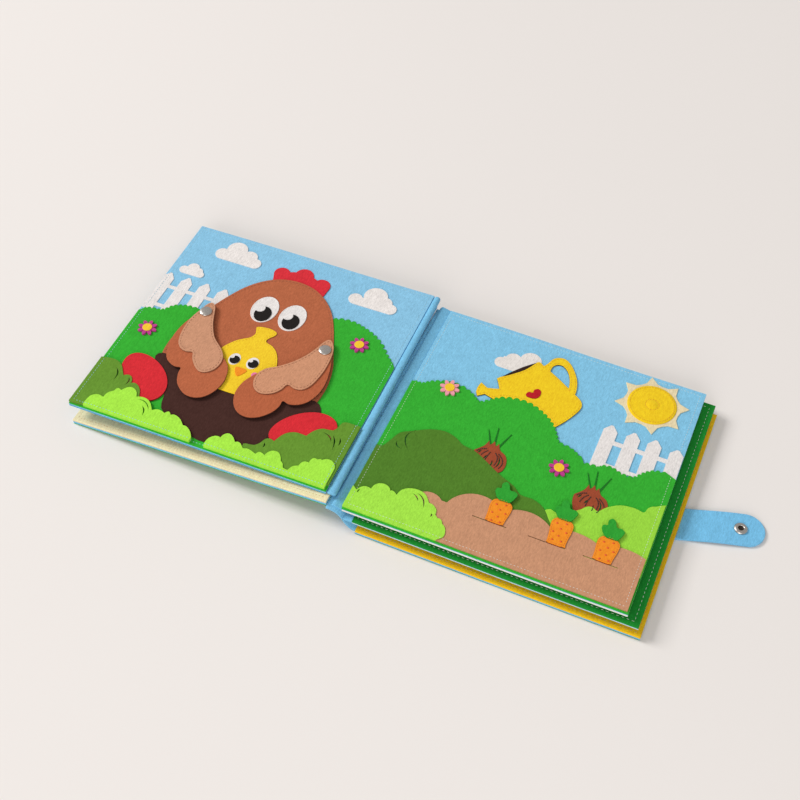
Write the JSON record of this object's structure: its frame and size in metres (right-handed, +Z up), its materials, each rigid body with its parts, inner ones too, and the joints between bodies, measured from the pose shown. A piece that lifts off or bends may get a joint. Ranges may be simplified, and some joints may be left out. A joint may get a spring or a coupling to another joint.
{
  "type": "quiet book",
  "caption": "Open felt quiet book with a hen page, a garden page, felt appliques, swivelling hen wings, layered covers and a snap closing strap.",
  "frame": {"origin": "middle of the back cover's underside", "axes": "+X to the right across both pages, +Y to the back of the open book, +Z up"},
  "size_m": [0.5077, 0.22, 0.0278],
  "materials": {
    "sky_felt": "matt needle felt",
    "pale_felt": "matt needle felt",
    "yellow_felt": "matt needle felt",
    "green_felt": "matt needle felt",
    "dark_green_felt": "matt needle felt",
    "olive_felt": "matt needle felt",
    "lime_felt": "matt needle felt",
    "tan_felt": "matt needle felt",
    "cream_felt": "matt needle felt",
    "brown_felt": "matt needle felt",
    "dark_brown_felt": "matt needle felt",
    "black_felt": "matt needle felt",
    "red_felt": "matt needle felt",
    "orange_felt": "matt needle felt",
    "pink_felt": "matt needle felt",
    "pink_wood": "painted satin",
    "magenta_wood": "painted satin",
    "yellow_wood": "painted satin",
    "snap_metal": "nickel plated"
  },
  "bodies": {
    "back_half": {"back_cover": "sky_felt", "back_cover_lining": "yellow_felt", "spine": "sky_felt", "green_leaf_front": "dark_green_felt", "green_leaf_back": "pale_felt", "green_leaf_hinge_strip": "sky_felt", "garden_leaf_sky": "sky_felt", "garden_leaf_back": "pale_felt", "garden_leaf_hinge_strip": "sky_felt", "closure_strap": "sky_felt", "snap_socket": "snap_metal", "garden_cloud": "pale_felt", "watering_can_back": "dark_brown_felt", "watering_can": "yellow_felt", "can_heart": "red_felt", "sun_rays": "cream_felt", "sun_disc": "yellow_felt", "garden_fence": "pale_felt", "garden_hill": "green_felt", "pink_flower": "pink_wood", "magenta_flower": "magenta_wood", "garden_flower_centres": "yellow_wood", "onion_stems": "dark_green_felt", "onions": "brown_felt", "garden_lime_hill": "lime_felt", "garden_olive_bush": "olive_felt", "soil_pocket": "tan_felt", "carrots": "orange_felt", "carrot_tops": "green_felt", "garden_lime_bush": "lime_felt"},
    "front_half": {"front_cover": "sky_felt", "front_cover_meadow": "green_felt", "front_cover_lining": "cream_felt", "snap_stud": "snap_metal", "hen_leaf_sky": "sky_felt", "hen_leaf_back": "sky_felt", "hen_leaf_hinge_strip": "sky_felt", "hen_clouds": "pale_felt", "hen_fence": "pale_felt", "hen_hill": "green_felt", "hen_flowers": "magenta_wood", "hen_flower_centres": "yellow_wood", "comb": "red_felt", "hen_body": "brown_felt", "nest": "dark_brown_felt", "eye_whites": "pale_felt", "pupils": "black_felt", "chick": "yellow_felt", "chick_beak": "orange_felt", "chick_cheek": "pink_felt", "eggs": "red_felt", "hen_olive_bushes": "olive_felt", "hen_lime_bushes": "lime_felt", "wing_rivets": "snap_metal"},
    "left_wing_body": {"left_wing": "brown_felt", "left_wing_panel": "tan_felt"},
    "right_wing_body": {"right_wing": "brown_felt", "right_wing_panel": "tan_felt"}
  },
  "joints": [
    {"name": "front_cover_fold", "type": "hinge", "parent": "back_half", "child": "front_half", "pos_m": [-0.12475, 0, 0.02415], "axis": [0, 1, 0], "range_deg": [0, 180]},
    {"name": "left_wing_swivel", "type": "hinge", "parent": "front_half", "child": "left_wing_body", "pos_m": [-0.29066, 0.02262, 0.02182], "axis": [-0.0227, -0.0002, 0.9997], "range_deg": [-60, 3]},
    {"name": "right_wing_swivel", "type": "hinge", "parent": "front_half", "child": "right_wing_body", "pos_m": [-0.18749, 0.02252, 0.02416], "axis": [-0.0227, -0.0002, 0.9997], "range_deg": [-3, 60]}
  ]
}
